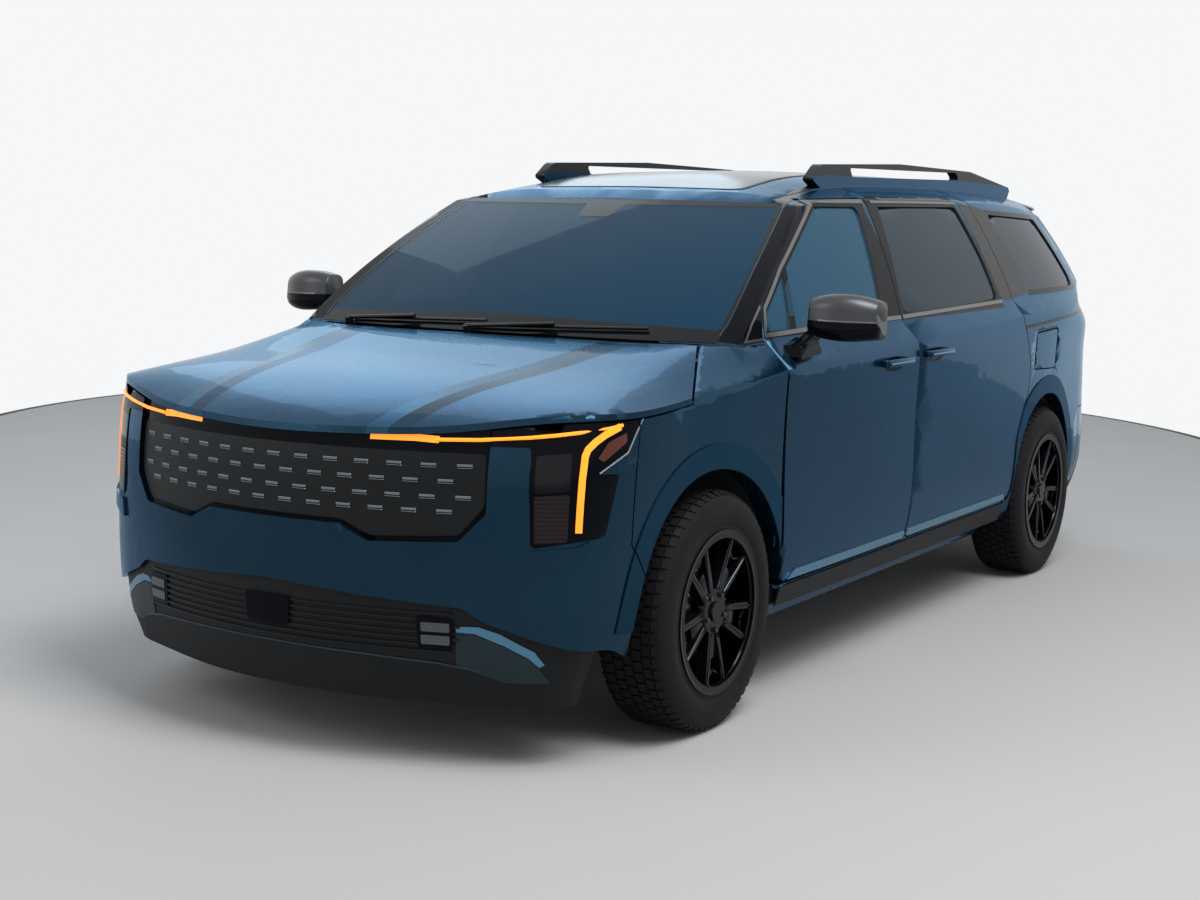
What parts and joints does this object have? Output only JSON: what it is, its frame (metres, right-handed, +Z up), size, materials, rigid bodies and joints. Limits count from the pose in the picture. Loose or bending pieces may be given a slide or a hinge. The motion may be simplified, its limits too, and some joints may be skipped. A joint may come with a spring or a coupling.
{
  "type": "minivan",
  "caption": "Three-row passenger minivan with hinged front doors, hood, tailgate and fuel door, steered front wheels and free-rolling wheels",
  "frame": {"origin": "on the ground, midway between nose and tail on the centre line", "axes": "+X to the nose, +Y to the left side, +Z up"},
  "size_m": [5.1568, 2.43, 1.7749],
  "materials": {
    "black_plastic": "fine grain",
    "cast": "cast",
    "exhaust": "brushed",
    "glass": "tinted",
    "gloss_black": "gloss",
    "lamp": "clear lens over dark housing",
    "mirror_cap": "satin",
    "paint": "metallic teal blue",
    "seat": "perforated",
    "steel": "black coat",
    "tail_lamp": "red lens",
    "tyre": "rubber"
  },
  "bodies": {
    "body": {"body_side_left": "paint", "body_side_right": "paint", "cowl_and_wipers": "black_plastic", "dashboard": "black_plastic", "engine_block": "cast", "exhaust": "exhaust", "floor_pan": "steel", "front_bumper": "paint", "front_fender_left": "paint", "front_fender_right": "paint", "front_seats": "seat", "front_subframe": "steel", "grille": "gloss_black", "headlamps": "lamp", "lower_fascia": "black_plastic", "middle_seats": "seat", "rear_bench": "seat", "rear_bumper": "paint", "rear_side_glass": "glass", "rear_suspension": "steel", "roof_panel": "paint", "roof_rails": "gloss_black", "sill_trims": "black_plastic", "sliding_door_left": "paint", "sliding_door_right": "paint", "tail_lamps": "tail_lamp", "wheel_liners": "black_plastic", "windshield": "glass"},
    "hood": {"hood": "paint"},
    "front_door_left": {"front_door_glass_left": "glass", "front_door_left": "paint", "mirror_left": "mirror_cap"},
    "front_door_right": {"front_door_glass_right": "glass", "front_door_right": "paint", "mirror_right": "mirror_cap"},
    "tailgate": {"tailgate": "paint", "tailgate_glass": "glass"},
    "fuel_door": {"fuel_door": "paint"},
    "steer_left": {"knuckle_left": "steel"},
    "steer_right": {"knuckle_right": "steel"},
    "steering_wheel": {"steering_wheel": "black_plastic"},
    "wheel_front_left": {"tyre_front_left": "tyre", "rim_front_left": "gloss_black"},
    "wheel_front_right": {"tyre_front_right": "tyre", "rim_front_right": "gloss_black"},
    "wheel_rear_left": {"tyre_rear_left": "tyre", "rim_rear_left": "gloss_black"},
    "wheel_rear_right": {"tyre_rear_right": "tyre", "rim_rear_right": "gloss_black"}
  },
  "joints": [
    {"name": "hood_hinge", "type": "hinge", "parent": "body", "child": "hood", "pos_m": [1.36, 0, 1.12], "axis": [0, -1, 0], "range_deg": [0, 55]},
    {"name": "front_door_left_hinge", "type": "hinge", "parent": "body", "child": "front_door_left", "pos_m": [1.19, 0.935, 0.75], "axis": [0, 0, -1], "range_deg": [0, 65]},
    {"name": "front_door_right_hinge", "type": "hinge", "parent": "body", "child": "front_door_right", "pos_m": [1.19, -0.935, 0.75], "axis": [0, 0, 1], "range_deg": [0, 65]},
    {"name": "tailgate_hinge", "type": "hinge", "parent": "body", "child": "tailgate", "pos_m": [-2.01, 0, 1.655], "axis": [0, 1, 0], "range_deg": [0, 85]},
    {"name": "fuel_door_hinge", "type": "hinge", "parent": "body", "child": "fuel_door", "pos_m": [-1.256, 0.974, 1], "axis": [0, 0, -1], "range_deg": [0, 75]},
    {"name": "steer_left", "type": "hinge", "parent": "body", "child": "steer_left", "pos_m": [1.643, 0.828, 0.37], "axis": [0, 0, 1], "range_deg": [-35, 35]},
    {"name": "steer_right", "type": "hinge", "parent": "body", "child": "steer_right", "pos_m": [1.643, -0.828, 0.37], "axis": [0, 0, 1], "range_deg": [-35, 35]},
    {"name": "steering_wheel_turn", "type": "hinge", "parent": "body", "child": "steering_wheel", "pos_m": [0.59422, 0.37, 1.03288], "axis": [-0.9326, 0, 0.361], "range_deg": [-490, 490]},
    {"name": "wheel_front_left_spin", "type": "hinge", "parent": "steer_left", "child": "wheel_front_left", "pos_m": [1.643, 0.868, 0.37], "axis": [0, 1, 0], "continuous": true},
    {"name": "wheel_front_right_spin", "type": "hinge", "parent": "steer_right", "child": "wheel_front_right", "pos_m": [1.643, -0.868, 0.37], "axis": [0, 1, 0], "continuous": true},
    {"name": "wheel_rear_left_spin", "type": "hinge", "parent": "body", "child": "wheel_rear_left", "pos_m": [-1.447, 0.868, 0.37], "axis": [0, 1, 0], "continuous": true},
    {"name": "wheel_rear_right_spin", "type": "hinge", "parent": "body", "child": "wheel_rear_right", "pos_m": [-1.447, -0.868, 0.37], "axis": [0, 1, 0], "continuous": true}
  ],
  "couplings": [
    {"joint": "steer_right", "follows": "steer_left", "ratio": 1},
    {"joint": "steering_wheel_turn", "follows": "steer_left", "ratio": 14}
  ]
}
